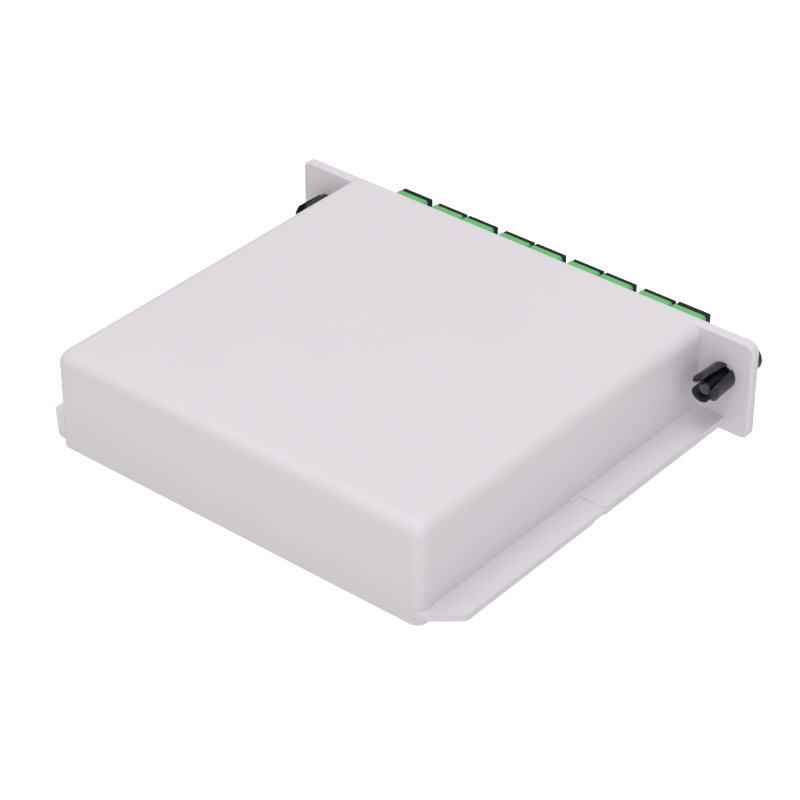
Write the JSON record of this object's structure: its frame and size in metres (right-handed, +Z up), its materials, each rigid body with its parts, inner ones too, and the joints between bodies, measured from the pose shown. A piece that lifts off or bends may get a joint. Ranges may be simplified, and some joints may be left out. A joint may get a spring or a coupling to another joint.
{
  "type": "fibre splitter cassette",
  "caption": "Flat plug-in cassette that splits one optical fibre into several, with capped angled ports on its front panel, guide flanges and push-pull latches.",
  "frame": {"origin": "on the bottom plane, under the middle of the cassette between its side walls and between the port panel's front and the back wall", "axes": "-Y out of the ports, +X to the right when looking at the ports, +Z up out of the roof"},
  "size_m": [0.1304, 0.1117, 0.025],
  "materials": {
    "case_plastic": "fine satin grain",
    "latch_plastic": "satin nylon",
    "adapter_plastic": "semi-gloss",
    "cap_plastic": "satin",
    "plug_plastic": "semi-gloss",
    "sleeve_ceramic": "polished",
    "module_steel": "drawn tube",
    "boot_rubber": "matte",
    "fibre_jacket": "satin jacket",
    "screw_steel": "zinc plated"
  },
  "bodies": {
    "cassette": {"housing": "case_plastic", "bottom_cover": "case_plastic", "cover_screws": "screw_steel", "latch_grommet_left": "latch_plastic", "latch_grommet_right": "latch_plastic", "splitter_module": "module_steel", "module_boot_input": "boot_rubber", "module_boot_output": "boot_rubber", "fibre_coil": "fibre_jacket", "input_adapter": "adapter_plastic", "input_sleeve": "sleeve_ceramic", "input_plug": "plug_plastic", "input_fibre": "fibre_jacket", "output_1_adapter": "adapter_plastic", "output_1_sleeve": "sleeve_ceramic", "output_1_plug": "plug_plastic", "output_1_fibre": "fibre_jacket", "output_2_adapter": "adapter_plastic", "output_2_sleeve": "sleeve_ceramic", "output_2_plug": "plug_plastic", "output_2_fibre": "fibre_jacket", "output_3_adapter": "adapter_plastic", "output_3_sleeve": "sleeve_ceramic", "output_3_plug": "plug_plastic", "output_3_fibre": "fibre_jacket", "output_4_adapter": "adapter_plastic", "output_4_sleeve": "sleeve_ceramic", "output_4_plug": "plug_plastic", "output_4_fibre": "fibre_jacket", "output_5_adapter": "adapter_plastic", "output_5_sleeve": "sleeve_ceramic", "output_5_plug": "plug_plastic", "output_5_fibre": "fibre_jacket", "output_6_adapter": "adapter_plastic", "output_6_sleeve": "sleeve_ceramic", "output_6_plug": "plug_plastic", "output_6_fibre": "fibre_jacket", "output_7_adapter": "adapter_plastic", "output_7_sleeve": "sleeve_ceramic", "output_7_plug": "plug_plastic", "output_7_fibre": "fibre_jacket", "output_8_adapter": "adapter_plastic", "output_8_sleeve": "sleeve_ceramic", "output_8_plug": "plug_plastic", "output_8_fibre": "fibre_jacket"},
    "plunger_left": {"latch_plunger_left": "latch_plastic"},
    "plunger_right": {"latch_plunger_right": "latch_plastic"},
    "input_cap": {"input_cap": "cap_plastic"},
    "output_1_cap": {"output_1_cap": "cap_plastic"},
    "output_2_cap": {"output_2_cap": "cap_plastic"},
    "output_3_cap": {"output_3_cap": "cap_plastic"},
    "output_4_cap": {"output_4_cap": "cap_plastic"},
    "output_5_cap": {"output_5_cap": "cap_plastic"},
    "output_6_cap": {"output_6_cap": "cap_plastic"},
    "output_7_cap": {"output_7_cap": "cap_plastic"},
    "output_8_cap": {"output_8_cap": "cap_plastic"}
  },
  "joints": [
    {"name": "plunger_left_pull", "type": "slide", "parent": "cassette", "child": "plunger_left", "axis": [0, -1, 0], "range_m": [0, 0.0045]},
    {"name": "plunger_right_pull", "type": "slide", "parent": "cassette", "child": "plunger_right", "axis": [0, -1, 0], "range_m": [0, 0.0045]},
    {"name": "input_cap_pull", "type": "slide", "parent": "cassette", "child": "input_cap", "axis": [0, -1, 0], "range_m": [0, 0.022]},
    {"name": "output_1_cap_pull", "type": "slide", "parent": "cassette", "child": "output_1_cap", "axis": [0, -1, 0], "range_m": [0, 0.022]},
    {"name": "output_2_cap_pull", "type": "slide", "parent": "cassette", "child": "output_2_cap", "axis": [0, -1, 0], "range_m": [0, 0.022]},
    {"name": "output_3_cap_pull", "type": "slide", "parent": "cassette", "child": "output_3_cap", "axis": [0, -1, 0], "range_m": [0, 0.022]},
    {"name": "output_4_cap_pull", "type": "slide", "parent": "cassette", "child": "output_4_cap", "axis": [0, -1, 0], "range_m": [0, 0.022]},
    {"name": "output_5_cap_pull", "type": "slide", "parent": "cassette", "child": "output_5_cap", "axis": [0, -1, 0], "range_m": [0, 0.022]},
    {"name": "output_6_cap_pull", "type": "slide", "parent": "cassette", "child": "output_6_cap", "axis": [0, -1, 0], "range_m": [0, 0.022]},
    {"name": "output_7_cap_pull", "type": "slide", "parent": "cassette", "child": "output_7_cap", "axis": [0, -1, 0], "range_m": [0, 0.022]},
    {"name": "output_8_cap_pull", "type": "slide", "parent": "cassette", "child": "output_8_cap", "axis": [0, -1, 0], "range_m": [0, 0.022]}
  ]
}
